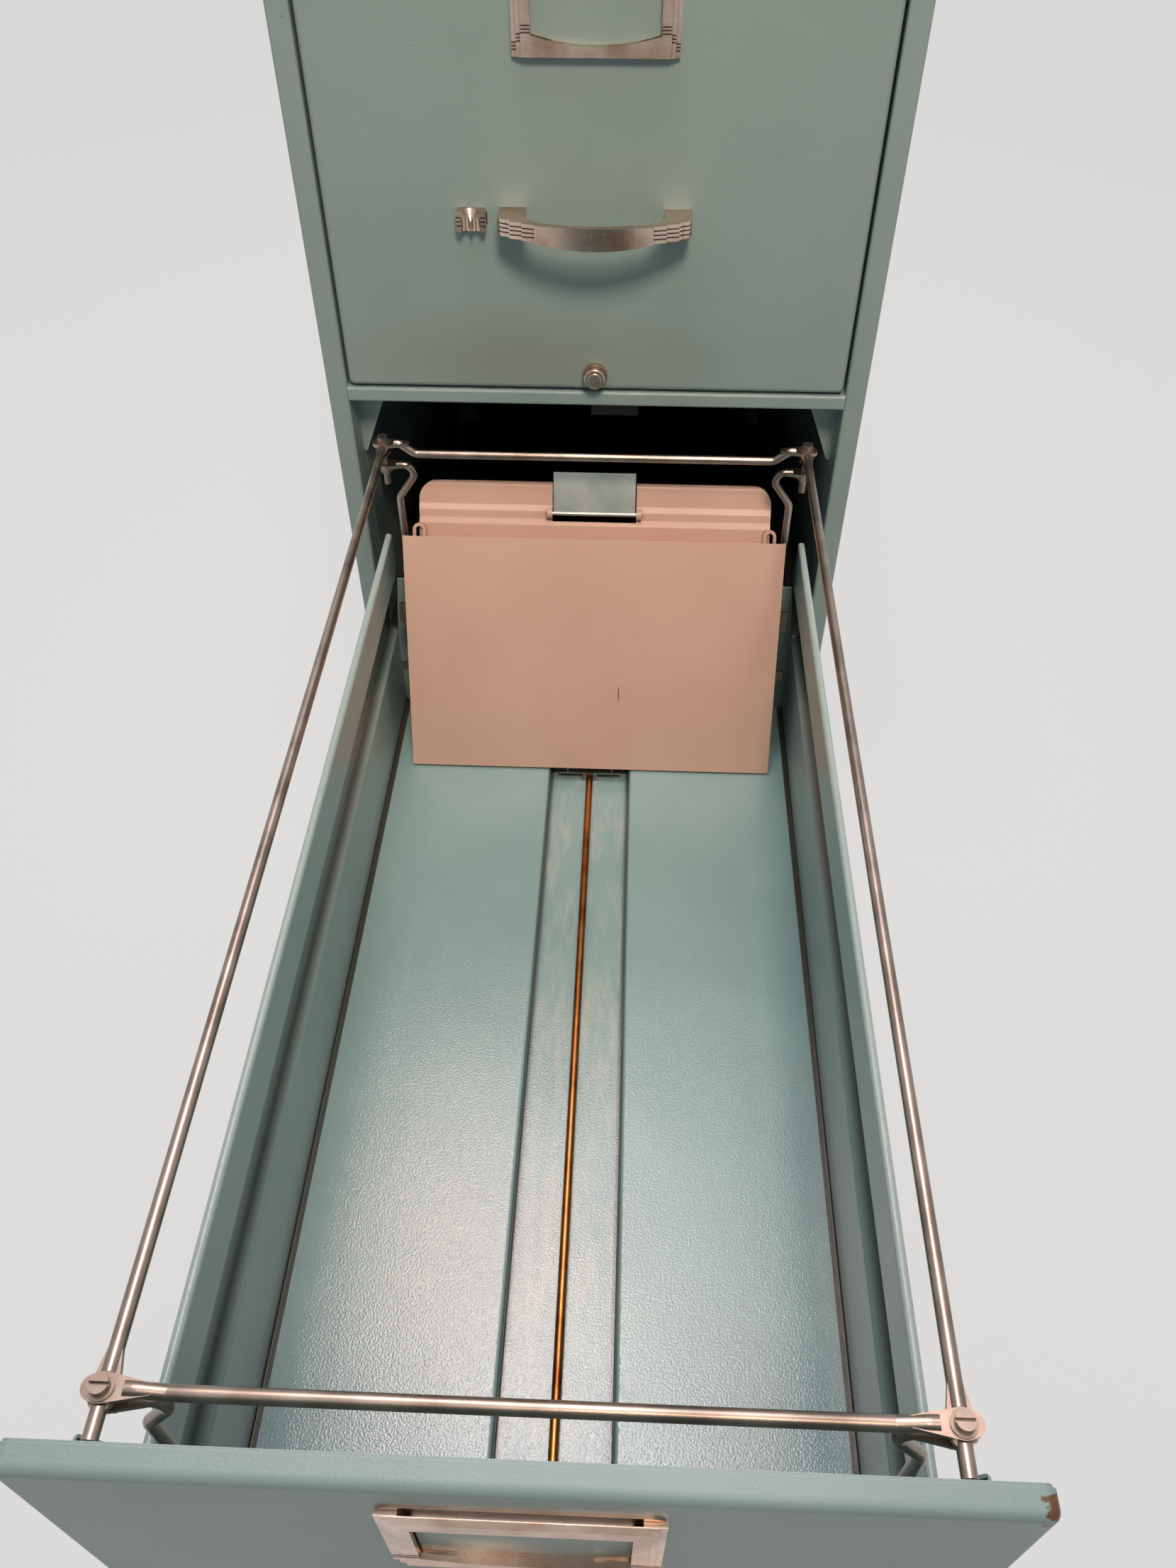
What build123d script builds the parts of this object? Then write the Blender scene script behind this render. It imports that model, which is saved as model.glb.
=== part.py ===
# Letter-size metal filing cabinet with two full-extension drawers.
# It is modelled with the upper drawer shut and the lower drawer pulled right out.
# Millimetres. +X is right as seen from the front, +Y runs into the case, +Z is up.
# The origin is on the floor, under the middle of the footprint with the lower drawer out.

import os
from math import cos, radians, sin

from build123d import *

# Case
CASE_WIDTH = 381.0
CASE_DEPTH = 724.0
SHEET = 1.2
BEND = 2.0
BASE_HEIGHT = 88.0
TOP_BAND = 50.8
TOP_FLANGE = 16.0
TOP_EDGE = 4.0
POST_FACE = 14.3
POST_RETURN = 26.0
REAR_FLANGE = 18.0
RAIL_HEIGHT = 10.6
RAIL_DEPTH = 25.0
KICK_SETBACK = 12.0
UPRIGHT_DEPTH = 40.0
REAR_UPRIGHT_INSET = 34.0
GUSSET_TOP = 24.0
GUSSET_FOOT = 2.2
GUSSET_DROP = 54.0
GUSSET_FLANGE = 9.0

# Drawer fronts
FRONT_HEIGHT = 290.0
FRONT_GAP = 1.8
FRONT_DEPTH = 10.0
FRONT_EDGE = 4.0
FRONT_CORNER = 4.5
LINER_INSET = 1.0

# Drawer bodies
REAR_ROOM = 42.0
OVERTRAVEL = 8.0
SLIDE_SPACE = 12.5
BOTTOM_TOP = 16.0
BOTTOM_GAP = 3.9
SIDE_FLANGE = 12.0
SIDE_TOP = 185.0
LEDGE_Z = 92.0
GROOVE_TOP = 144.0
GROOVE_DEPTH = 5.5
UPPER_INSET = 5.5
LIP_WIDTH = 5.0
LIP_DROP = 7.0
LIP_BEND = 1.25
TROUGH_HALF = 32.0
TROUGH_DEPTH = 12.0
BACK_HEIGHT = 144.0
BACK_INSET = 1.0
STILE_WIDTH = 12.5
STILE_DEPTH = 12.0
STILE_HEIGHT = 252.0
STILE_SLANT = 14.0

# Suspension
RUNNER_FRONT = 18.0
RUNNER_REAR = 30.0
RUNNER_REACH = 8.7
RUNNER_HEIGHT = 46.4
RUNNER_Z = 50.0
SLIDE_CLEAR = 0.4
BAR_SHORT = 42.0
BAR_SETBACK = 22.0

# Front furniture
HANDLE_Z = 117.0
HANDLE_HALF = 61.0
HANDLE_HEIGHT = 14.0
HANDLE_REACH = 33.0
HANDLE_BAND = 4.0
FOOT_WIDTH = 17.0
FOOT_REACH = 20.0
FOOT_ROUND = 6.0
STEP_WIDTH = 8.0
STEP_RISE = 3.2
GRIP_SAG = 3.6
GROOVE_HEIGHT = 0.9
GROOVE_CUT = 0.8
GROOVE_PITCH = 2.6
LABEL_WIDTH = 98.0
LABEL_HEIGHT = 62.0
LABEL_Z = 209.6
LABEL_THICK = 2.8
LABEL_BAR = 11.2
LABEL_ARC = 5.6
LABEL_STEP = 2.7
LABEL_RISE = 0.9
LABEL_BACK = 1.0
LABEL_CREST = 3.0
LABEL_BEVEL = 1.6
LABEL_GROOVES = 5.5
LABEL_STAGGER = 4.5
CARD_SLOT = 1.6
CARD_MARGIN = 8.0
LATCH_X = -79.0
LATCH_WIDTH = 19.0
LATCH_HEIGHT = 13.0
LATCH_THICK = 6.5
LATCH_FLUTE = 2.8
LATCH_RIDGE = 0.5
LATCH_FUNNEL = 5.4
LATCH_TRAVEL = 6.0
LATCH_NECK = 7.0
LATCH_PLATE = 2.0
LATCH_BAR = 60.0
LATCH_GAP = 0.3

# Lock in the upper drawer
LOCK_Z = 11.6
LOCK_RADIUS = 8.8
LOCK_STEP = 7.4
LOCK_REACH = 4.0
LOCK_ROUND = 1.2
PLUNGER_RADIUS = 4.8
PLUNGER_PROUD = 1.0
PLUNGER_ROUND = 0.6
BOLT_WIDTH = 22.0
BOLT_THICK = 2.4
BOLT_HEIGHT = 30.0
KEEPER_WIDTH = 34.0
KEEPER_X = 14.0
KEEPER_DROP = 14.0
RUN_FIT = 0.06
SLOT_CLEAR = 0.6

# Follower block and its guide rod
ROD_RADIUS = 2.75
ROD_LIFT = 2.05
FOLLOWER_SIDE = 17.0
FOLLOWER_LEAN = 21.8
FOLLOWER_REAR = 85.0
FOLLOWER_SLANT = 189.0
FOLLOWER_LIFT = 2.2
FOLLOWER_GAP = 12.0
FOLLOWER_RETURN = 4.0
BACKPLATE_NARROW = 23.0
BACKPLATE_LOW = 20.0
BACKPLATE_TOP = 228.0
BACKPLATE_CORNER = 14.0
LEDGE_LOW = 197.0
LEDGE_HIGH = 207.0
LEDGE_RISE = 4.0
LEDGE_SET = 2.5
ROLL_WIDTH = 8.0
ROLL_BEND = 3.8
EAR_WIRE = 2.4
EAR_SPREAD = 5.0
EAR_HEIGHT = 32.0
TAB_WIDTH = 62.0
TAB_HEIGHT = 36.0
TAB_PROUD = 14.0
TAB_CURL = 5.0
TAB_SHEET = 1.5
TAB_CLEAR = 1.0
TAB_PIN = 1.6
TAB_LUG = 4.0
TAB_WINDOW = 5.0
CARRIAGE_HALF = 26.0
CARRIAGE_LENGTH = 70.0
BUSH_LENGTH = 9.0
BUSH_HALF = 6.0
WEB_X = 18.0
WEB_FOOT = 6.0
BRACE_UP = 80.0
CLIP_PROUD = 5.5
CLIP_DEPTH = 4.0
CLIP_HEIGHT = 15.0
CLIP_UP = 128.0
TAB_CLIP_HEIGHT = 6.0
TAB_CLIP_UP = 84.0

# Hanging-folder frame in the lower drawer
FRAME_INSET = 5.7
FRAME_Z = 265.0
FRAME_STUB = 6.0
WIRE = 3.0
LEG_WIRE = 2.75
EYE_RADIUS = 5.5
EYE_LEAF = 17.0
EYE_TIP = 2.2
EYE_LOBE = 3.0
EYE_THICK = 2.6
EYE_HOLE = 2.6
EYE_CLEAR = 0.4
SCREW_RADIUS = 2.5
FRONT_EYE_Y = 34.0
REAR_EYE_INSET = 7.0
JOGGLE_OUT = 12.0
JOGGLE_IN = 23.0
REAR_JOGGLE = 8.0
FRONT_JOGGLE = 2.0
LEG_INWARD = 26.0
LEG_INSET = 13.2
LEG_KNEE = 27.0
LEG_BEND = 7.0
REAR_LEG_DROP = 12.0
HEAD_RADIUS = 3.7
HEAD_HEIGHT = 3.4
WASHER_RADIUS = 5.0
WASHER_THICK = 1.0
NUT_FLATS = 8.0
NUT_HEIGHT = 4.0
REAR_BOLT = 34.0
FRONT_BOLT = 20.0
DRIVER_SLOT = 1.2

# Worked out from the sizes above
HALF = CASE_WIDTH / 2
OPENING = HALF - POST_FACE
LINER_BACK = FRONT_DEPTH + SHEET
DRAWER_LENGTH = CASE_DEPTH - REAR_ROOM
TRAVEL = DRAWER_LENGTH + OVERTRAVEL
BAR_LENGTH = DRAWER_LENGTH - BAR_SHORT
REACH = TRAVEL + HANDLE_REACH
FRONT_Y = (REACH - CASE_DEPTH) / 2
BACK_Y = FRONT_Y + CASE_DEPTH
DRAWER_PITCH = FRONT_HEIGHT + 2 * FRONT_GAP + RAIL_HEIGHT
LOWER_Z = BASE_HEIGHT + FRONT_GAP
UPPER_Z = LOWER_Z + DRAWER_PITCH
CROSS_Z = LOWER_Z + FRONT_HEIGHT + FRONT_GAP
BAND_Z = UPPER_Z + FRONT_HEIGHT + FRONT_GAP
CASE_HEIGHT = BAND_Z + TOP_BAND
SIDE_HEIGHT = CASE_HEIGHT - TOP_FLANGE
WALL_OUT = OPENING - SLIDE_SPACE
WALL_IN = WALL_OUT - SHEET
UPPER_OUT = WALL_OUT - UPPER_INSET
GROOVE_OUT = WALL_OUT + GROOVE_DEPTH
FOLLOWER_Y = DRAWER_LENGTH - FOLLOWER_REAR
FOLLOWER_WIDTH = 2 * (WALL_IN - FOLLOWER_SIDE)
BACKPLATE_WIDTH = FOLLOWER_WIDTH - BACKPLATE_NARROW
FRAME_X = UPPER_OUT - FRAME_INSET
LEG_X = UPPER_OUT - LEG_INSET
REAR_EYE_Y = DRAWER_LENGTH - REAR_EYE_INSET
BODY_Y = LINER_BACK + STILE_DEPTH
BACK_FACE = DRAWER_LENGTH - BACK_INSET - SHEET
FRONT_HALF = OPENING - FRONT_GAP
TROUGH_FLOOR = BOTTOM_TOP - TROUGH_DEPTH
ROD_Z = TROUGH_FLOOR + ROD_LIFT + ROD_RADIUS
BAR_HEIGHT = RUNNER_HEIGHT - 2 * SHEET - 2 * SLIDE_CLEAR
DRAWER_RUNNER_HEIGHT = BAR_HEIGHT - 2 * SHEET - 2 * SLIDE_CLEAR

os.makedirs("parts", exist_ok=True)


def save(builder, name):
    """Label a finished piece and write it under the same name."""
    builder.part.label = name
    export_step(builder.part, f"parts/{name}.step")


def front_plane(y):
    """Upright plane at depth y, drawn as seen from the front; a positive extrusion comes forward."""
    return Plane.XZ.offset(-y)


def handed(points, side):
    """The same outline for the right (1) or the left (-1), with its sheet kept on the same face."""
    turned = [(side * x, y) for x, y in points]
    return turned if side > 0 else turned[::-1]


def bent_sheet(points, radii=BEND, thickness=SHEET):
    """Section of a bent sheet: the points run along one face and the sheet lies on their left."""
    with BuildLine(mode=Mode.PRIVATE) as face_line:
        FilletPolyline(*points, radius=radii)
    make_face(face_line.wire().offset_2d(thickness, side=Side.LEFT).edges())


def outline(*points):
    """A straight-sided face through the points."""
    with BuildLine(mode=Mode.PRIVATE) as border:
        Polyline(*points, close=True)
    make_face(border.edges())


# Case sides: each is one sheet, folded round at the front into a post and at the back into a flange
for side, name in ((-1, "left_side"), (1, "right_side")):
    with BuildPart() as case_side:
        with BuildSketch(Plane.XY):
            bent_sheet(
                handed(
                    [
                        (OPENING, FRONT_Y + POST_RETURN),
                        (OPENING, FRONT_Y),
                        (HALF, FRONT_Y),
                        (HALF, BACK_Y),
                        (HALF - REAR_FLANGE, BACK_Y),
                    ],
                    side,
                )
            )
        extrude(amount=SIDE_HEIGHT)
    save(case_side, name)

# Top: a shallow pan turned down all round, standing on the edges of the sides
with BuildPart() as top_panel:
    with BuildSketch(Plane.XY.offset(SIDE_HEIGHT)):
        with Locations((0, (FRONT_Y + BACK_Y) / 2)):
            RectangleRounded(CASE_WIDTH, CASE_DEPTH, BEND)
    extrude(amount=TOP_FLANGE)
    fillet(top_panel.faces().sort_by(Axis.Z)[-1].edges(), TOP_EDGE)
    offset(amount=-SHEET, openings=top_panel.faces().sort_by(Axis.Z)[0])
save(top_panel, "top_panel")

# Back: a flat sheet inside the rear flanges
with BuildPart() as back_panel:
    with BuildSketch(front_plane(BACK_Y - SHEET)):
        outline(
            (-HALF + SHEET + BEND, SHEET),
            (HALF - SHEET - BEND, SHEET),
            (HALF - SHEET - BEND, SIDE_HEIGHT),
            (-HALF + SHEET + BEND, SIDE_HEIGHT),
        )
    extrude(amount=SHEET)
save(back_panel, "back_panel")

# Base: a flat sheet that the case stands on, behind the posts
with BuildPart() as base_pan:
    pan_front = FRONT_Y + POST_RETURN
    pan_back = BACK_Y - SHEET - BEND
    with BuildSketch(Plane.XY):
        with Locations((0, (pan_front + pan_back) / 2)):
            Rectangle(CASE_WIDTH - 2 * SHEET, pan_back - pan_front)
    extrude(amount=SHEET)
save(base_pan, "base_pan")

# Kick plate between the posts, set back under the bottom rail
with BuildPart() as kick_plate:
    with BuildSketch(Plane.XY):
        with Locations((0, FRONT_Y + KICK_SETBACK + SHEET / 2)):
            Rectangle(2 * OPENING, SHEET)
    extrude(amount=BASE_HEIGHT - RAIL_HEIGHT)
save(kick_plate, "kick_plate")


def rail(low, height):
    """A channel across the opening between the posts, open at the back."""
    with BuildSketch(Plane.YZ.offset(-OPENING)) as section:
        bent_sheet(
            [
                (FRONT_Y + RAIL_DEPTH, low + height),
                (FRONT_Y, low + height),
                (FRONT_Y, low),
                (FRONT_Y + RAIL_DEPTH, low),
            ]
        )
    extrude(section.sketch, amount=2 * OPENING)


with BuildPart() as bottom_rail:
    rail(BASE_HEIGHT - RAIL_HEIGHT, RAIL_HEIGHT)
save(bottom_rail, "bottom_rail")

BOLT_Y = FRONT_DEPTH - BOLT_THICK - LATCH_GAP
with BuildPart() as cross_rail:
    rail(CROSS_Z, RAIL_HEIGHT)
    with BuildSketch(Plane.XY.offset(CROSS_Z + RAIL_HEIGHT - SHEET)):
        with Locations((0, FRONT_Y + BOLT_Y + BOLT_THICK / 2)):
            Rectangle(BOLT_WIDTH + 2 * SLOT_CLEAR, BOLT_THICK + 2 * SLOT_CLEAR)
    extrude(amount=SHEET, mode=Mode.SUBTRACT)
save(cross_rail, "cross_rail")

with BuildPart() as top_rail:
    rail(BAND_Z, TOP_BAND - TOP_FLANGE)
save(top_rail, "top_rail")


def upright_pair(front):
    """Two channels that stand inside the case sides and carry the slides."""
    for side in (-1, 1):
        with BuildSketch(Plane.XY.offset(SHEET)) as section:
            bent_sheet(
                handed(
                    [
                        (HALF - SHEET, front + UPRIGHT_DEPTH),
                        (OPENING, front + UPRIGHT_DEPTH),
                        (OPENING, front),
                        (HALF - SHEET, front),
                    ],
                    side,
                )
            )
        extrude(section.sketch, amount=SIDE_HEIGHT - SHEET)


with BuildPart() as front_uprights:
    upright_pair(FRONT_Y + POST_RETURN)
save(front_uprights, "front_uprights")

with BuildPart() as rear_uprights:
    upright_pair(BACK_Y - REAR_UPRIGHT_INSET - UPRIGHT_DEPTH)
save(rear_uprights, "rear_uprights")

# Corner gussets: slant-edged plates behind the ends of the two rails above the drawers
with BuildPart() as corner_gussets:
    gusset_y = FRONT_Y + RAIL_DEPTH
    for low, height in ((CROSS_Z, RAIL_HEIGHT), (BAND_Z, TOP_BAND - TOP_FLANGE)):
        for side in (-1, 1):
            inner_top = (side * (OPENING - GUSSET_TOP), low)
            inner_foot = (side * (OPENING - GUSSET_FOOT), low - GUSSET_DROP)
            with BuildSketch(front_plane(gusset_y)):
                outline(
                    (side * OPENING, low + height),
                    (side * (OPENING - GUSSET_TOP), low + height),
                    inner_top,
                    inner_foot,
                    (side * OPENING, low - GUSSET_DROP),
                )
            extrude(amount=-SHEET)
            with BuildSketch(front_plane(gusset_y)):
                outline(
                    inner_top,
                    inner_foot,
                    (inner_foot[0] + side * SHEET, inner_foot[1]),
                    (inner_top[0] + side * SHEET, inner_top[1]),
                )
            extrude(amount=-GUSSET_FLANGE)
save(corner_gussets, "corner_gussets")

# Lock keeper: a small box under the cross rail, where the lock's bolt comes down
with BuildPart() as lock_keeper:
    with BuildSketch(Plane.XY.offset(CROSS_Z)):
        with Locations((KEEPER_X, FRONT_Y + LINER_BACK + FRONT_GAP)):
            Rectangle(
                KEEPER_WIDTH,
                RAIL_DEPTH - LINER_BACK - FRONT_GAP,
                align=(Align.CENTER, Align.MIN),
            )
    extrude(amount=-KEEPER_DROP)
    offset(amount=-SHEET, openings=lock_keeper.faces().sort_by(Axis.Y)[-1])
save(lock_keeper, "lock_keeper")


def channel_pair(x_web, x_tip, height, z_middle, y_front, length):
    """Two facing channels, one for each side, with the web at x_web and the flanges out to x_tip."""
    low = z_middle - height / 2
    high = z_middle + height / 2
    corners = [(x_tip, low), (x_web, low), (x_web, high), (x_tip, high)]
    if x_tip > x_web:
        corners.reverse()
    for side in (-1, 1):
        with BuildSketch(front_plane(y_front)) as section:
            bent_sheet(handed(corners, side))
        extrude(section.sketch, amount=-length)


BAR_WEB = OPENING - SHEET - SLIDE_CLEAR
BAR_TIP = OPENING - RUNNER_REACH - SLIDE_CLEAR
DRAWER_RUNNER_TIP = BAR_WEB - SHEET - 2 * SLIDE_CLEAR


def suspension(prefix, z, extension):
    """The fixed channels of one drawer and the slide bars, which run out half as far as the drawer."""
    with BuildPart() as case_runners:
        channel_pair(
            OPENING,
            OPENING - RUNNER_REACH,
            RUNNER_HEIGHT,
            z + RUNNER_Z,
            FRONT_Y + RUNNER_FRONT,
            CASE_DEPTH - RUNNER_FRONT - RUNNER_REAR,
        )
    save(case_runners, f"{prefix}_case_runners")
    with BuildPart() as slide_bars:
        channel_pair(
            BAR_WEB,
            BAR_TIP,
            BAR_HEIGHT,
            z + RUNNER_Z,
            FRONT_Y + BAR_SETBACK - extension / 2,
            BAR_LENGTH,
        )
    save(slide_bars, f"{prefix}_slide_bars")


def handle_plan(y_face, shift, mode):
    """Plan of the pull: two feet, three steps on each shoulder, and a bowed grip between them."""
    shoulder = HANDLE_HALF - 3 * STEP_WIDTH
    grip_foot = FOOT_REACH + 3 * STEP_RISE
    foot_in = HANDLE_HALF - FOOT_WIDTH
    with BuildLine(mode=Mode.PRIVATE) as border:
        right = [(HANDLE_HALF - FOOT_ROUND, FOOT_REACH)]
        for step in range(3):
            out = FOOT_REACH + step * STEP_RISE
            if step > 0:
                right += [(HANDLE_HALF - step * STEP_WIDTH, out)]
            right += [(HANDLE_HALF - (step + 1) * STEP_WIDTH, out + STEP_RISE / 2)]
        right += [(shoulder, grip_foot)]
        placed = [(x, y_face + shift - out) for x, out in right]
        round_start = (HANDLE_HALF, y_face + shift - FOOT_REACH + FOOT_ROUND)
        Line((HANDLE_HALF, y_face + shift), round_start)
        Line((-HANDLE_HALF, y_face + shift), (-HANDLE_HALF, round_start[1]))
        TangentArc(round_start, placed[0], tangent=(0, -1))
        TangentArc((-HANDLE_HALF, round_start[1]), (-placed[0][0], placed[0][1]), tangent=(0, -1))
        Polyline(*placed)
        Polyline(*[(-x, y) for x, y in placed])
        ThreePointArc(
            (shoulder, y_face + shift - grip_foot),
            (0, y_face + shift - HANDLE_REACH),
            (-shoulder, y_face + shift - grip_foot),
        )
        throat = grip_foot - HANDLE_BAND
        inside = [(foot_in, 0), (foot_in, FOOT_REACH / 2), (shoulder - STEP_WIDTH, throat)]
        inner = [(x, y_face + shift - out) for x, out in inside]
        Line(inner[0], inner[1])
        Line((-inner[0][0], inner[0][1]), (-inner[1][0], inner[1][1]))
        for turn in (-1, 1):
            TangentArc(
                (turn * inner[1][0], inner[1][1]),
                (turn * inner[2][0], inner[2][1]),
                tangent=(0, -1),
            )
        ThreePointArc(
            inner[2],
            (0, y_face + shift - HANDLE_REACH + HANDLE_BAND),
            (-inner[2][0], inner[2][1]),
        )
        Line((HANDLE_HALF, y_face + shift), inner[0])
        Line((-HANDLE_HALF, y_face + shift), (-inner[0][0], inner[0][1]))
    make_face(border.edges(), mode=mode)


def handle(name, y, z):
    """Cast pull: the plan carried up through its height, trimmed to a sagging lower edge, then grooved."""
    shoulder = HANDLE_HALF - 3 * STEP_WIDTH
    low = z + HANDLE_Z - HANDLE_HEIGHT / 2
    high = z + HANDLE_Z + HANDLE_HEIGHT / 2
    with BuildPart() as pull:
        with BuildSketch(Plane.XY.offset(low)):
            handle_plan(y, 0, Mode.ADD)
        extrude(amount=HANDLE_HEIGHT)
        with BuildSketch(front_plane(y)):
            with BuildLine():
                ThreePointArc((-shoulder, low + GRIP_SAG), (0, low), (shoulder, low + GRIP_SAG))
                Polyline((shoulder, low + GRIP_SAG), (HANDLE_HALF, low + GRIP_SAG), (HANDLE_HALF, high))
                Polyline((-shoulder, low + GRIP_SAG), (-HANDLE_HALF, low + GRIP_SAG), (-HANDLE_HALF, high))
                Line((HANDLE_HALF, high), (-HANDLE_HALF, high))
            make_face()
        extrude(amount=HANDLE_REACH, mode=Mode.INTERSECT)
        middle = (low + GRIP_SAG + high) / 2
        for step in (-1, 0, 1):
            with BuildSketch(Plane.XY.offset(middle + step * GROOVE_PITCH - GROOVE_HEIGHT / 2)):
                handle_plan(y, 0, Mode.ADD)
                handle_plan(y, GROOVE_CUT, Mode.SUBTRACT)
                with Locations((0, y - HANDLE_REACH / 2)):
                    Rectangle(2 * shoulder, 2 * HANDLE_REACH, mode=Mode.SUBTRACT)
            extrude(amount=GROOVE_HEIGHT, mode=Mode.SUBTRACT)
    save(pull, name)


def label_holder(name, y, z):
    """Cast card frame: three stepped plates, a hollow-edged bottom bar, grooves and a card slot."""
    low = z + LABEL_Z
    high = low + LABEL_HEIGHT
    half = LABEL_WIDTH / 2
    window = half - LABEL_BAR
    with BuildPart() as holder:
        for step in range(3):
            with BuildSketch(front_plane(y)):
                with Locations((0, (low + high) / 2)):
                    Rectangle(LABEL_WIDTH - 2 * step * LABEL_STEP, LABEL_HEIGHT)
            extrude(amount=LABEL_THICK + step * LABEL_RISE)
        face = LABEL_THICK + 2 * LABEL_RISE
        with BuildSketch(Plane.YZ.offset(-half)):
            outline(
                (y - face, high),
                (y - face, high - 2 * LABEL_BEVEL),
                (y - face + LABEL_BEVEL, high),
            )
        extrude(amount=LABEL_WIDTH, mode=Mode.SUBTRACT)
        with BuildSketch(front_plane(y)):
            with BuildLine():
                ThreePointArc(
                    (-window, low + LABEL_BAR),
                    (0, low + LABEL_BAR - LABEL_ARC),
                    (window, low + LABEL_BAR),
                )
                Polyline(
                    (window, low + LABEL_BAR),
                    (window, high - LABEL_BAR),
                    (-window, high - LABEL_BAR),
                    (-window, low + LABEL_BAR),
                )
            make_face()
        extrude(amount=face, mode=Mode.SUBTRACT)
        with BuildSketch(front_plane(y)):
            with Locations((0, high + LABEL_CREST)):
                RectangleRounded(
                    LABEL_WIDTH,
                    LABEL_BAR + LABEL_CREST,
                    LABEL_BAR / 2,
                    align=(Align.CENTER, Align.MAX),
                )
        extrude(amount=LABEL_BACK)
        with BuildSketch(front_plane(y - LABEL_BACK)):
            with Locations((0, high)):
                Rectangle(
                    LABEL_WIDTH - 2 * CARD_MARGIN,
                    LABEL_HEIGHT - CARD_MARGIN,
                    align=(Align.CENTER, Align.MAX),
                )
        extrude(amount=CARD_SLOT, mode=Mode.SUBTRACT)
        for side in (-1, 1):
            for step in range(3):
                outer = half - step * LABEL_STEP
                inner = window if step == 2 else outer - LABEL_STEP
                middle = low + LABEL_GROOVES + step * LABEL_STAGGER
                with BuildSketch(front_plane(y - LABEL_THICK - step * LABEL_RISE)):
                    with Locations((side * (outer + inner) / 2, middle)):
                        with GridLocations(0, 2 * GROOVE_HEIGHT, 1, 3):
                            Rectangle(outer - inner, GROOVE_HEIGHT)
                extrude(amount=-GROOVE_CUT, mode=Mode.SUBTRACT)
    save(holder, name)


def thumb_latch(name, y, z):
    """Thumb piece: a funnel over a ridge between two flutes, ribbed flanks, and a neck to a bar inside."""
    with BuildPart() as latch:
        middle = z + HANDLE_Z
        with BuildSketch(front_plane(y - LATCH_GAP)):
            with Locations((LATCH_X, middle)):
                RectangleRounded(LATCH_WIDTH, LATCH_HEIGHT, BEND)
        extrude(amount=LATCH_THICK)
        thumb_y = y - LATCH_GAP - LATCH_THICK
        with Locations((LATCH_X, thumb_y, middle + LATCH_HEIGHT / 4)):
            Cone(LATCH_RIDGE, LATCH_FUNNEL, LATCH_HEIGHT / 2, mode=Mode.SUBTRACT)
        with BuildSketch(Plane.XY.offset(middle - LATCH_HEIGHT / 2)):
            with Locations(
                (LATCH_X - LATCH_FLUTE - LATCH_RIDGE, thumb_y),
                (LATCH_X + LATCH_FLUTE + LATCH_RIDGE, thumb_y),
            ):
                Circle(LATCH_FLUTE)
        extrude(amount=LATCH_HEIGHT * 2 / 3, mode=Mode.SUBTRACT)
        flank = LATCH_WIDTH / 3
        for step in (-1, 0, 1):
            with BuildSketch(front_plane(thumb_y)):
                with Locations(
                    (LATCH_X - LATCH_WIDTH / 2, middle + step * GROOVE_PITCH),
                    (LATCH_X + LATCH_WIDTH / 2, middle + step * GROOVE_PITCH),
                ):
                    Rectangle(flank, GROOVE_HEIGHT)
            extrude(amount=-GROOVE_CUT, mode=Mode.SUBTRACT)
        with BuildSketch(front_plane(y - LATCH_GAP)):
            with Locations((LATCH_X, middle)):
                Rectangle(LATCH_NECK, LATCH_NECK)
        extrude(amount=-(LATCH_GAP + SHEET + LATCH_GAP))
        with BuildSketch(front_plane(y + SHEET + LATCH_GAP)):
            with Locations((LATCH_X, middle)):
                Rectangle(LATCH_BAR, LATCH_HEIGHT)
        extrude(amount=-LATCH_PLATE)
    save(latch, name)


def drawer_front(prefix, y, z, has_lock):
    """Pressed front pan with soft edges, and the flat liner that closes its back."""
    with BuildPart() as front:
        with BuildSketch(front_plane(y + FRONT_DEPTH)):
            with Locations((0, z + FRONT_HEIGHT / 2)):
                RectangleRounded(2 * FRONT_HALF, FRONT_HEIGHT, FRONT_CORNER)
        extrude(amount=FRONT_DEPTH)
        fillet(front.faces().sort_by(Axis.Y)[0].edges(), FRONT_EDGE)
        offset(amount=-SHEET, openings=front.faces().sort_by(Axis.Y)[-1])
        with BuildSketch(front_plane(y)):
            with Locations((LATCH_X + LATCH_TRAVEL / 2, z + HANDLE_Z)):
                Rectangle(LATCH_NECK + LATCH_TRAVEL + 2 * SLOT_CLEAR, LATCH_NECK + 2 * SLOT_CLEAR)
        extrude(amount=-SHEET, mode=Mode.SUBTRACT)
        if has_lock:
            with BuildSketch(front_plane(y)):
                with Locations((0, z + LOCK_Z)):
                    Circle(LOCK_STEP)
            extrude(amount=-SHEET, mode=Mode.SUBTRACT)
            with BuildSketch(Plane.XY.offset(z)):
                with Locations((0, y + BOLT_Y + BOLT_THICK / 2)):
                    Rectangle(BOLT_WIDTH + 2 * SLOT_CLEAR, BOLT_THICK + 2 * SLOT_CLEAR)
            extrude(amount=SHEET, mode=Mode.SUBTRACT)
    save(front, f"{prefix}_front")
    with BuildPart() as liner:
        with BuildSketch(front_plane(y + FRONT_DEPTH)):
            with Locations((0, z + FRONT_HEIGHT / 2)):
                RectangleRounded(
                    2 * (FRONT_HALF - LINER_INSET),
                    FRONT_HEIGHT - 2 * LINER_INSET,
                    FRONT_CORNER - LINER_INSET,
                )
        extrude(amount=-SHEET)
    save(liner, f"{prefix}_front_liner")


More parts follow.
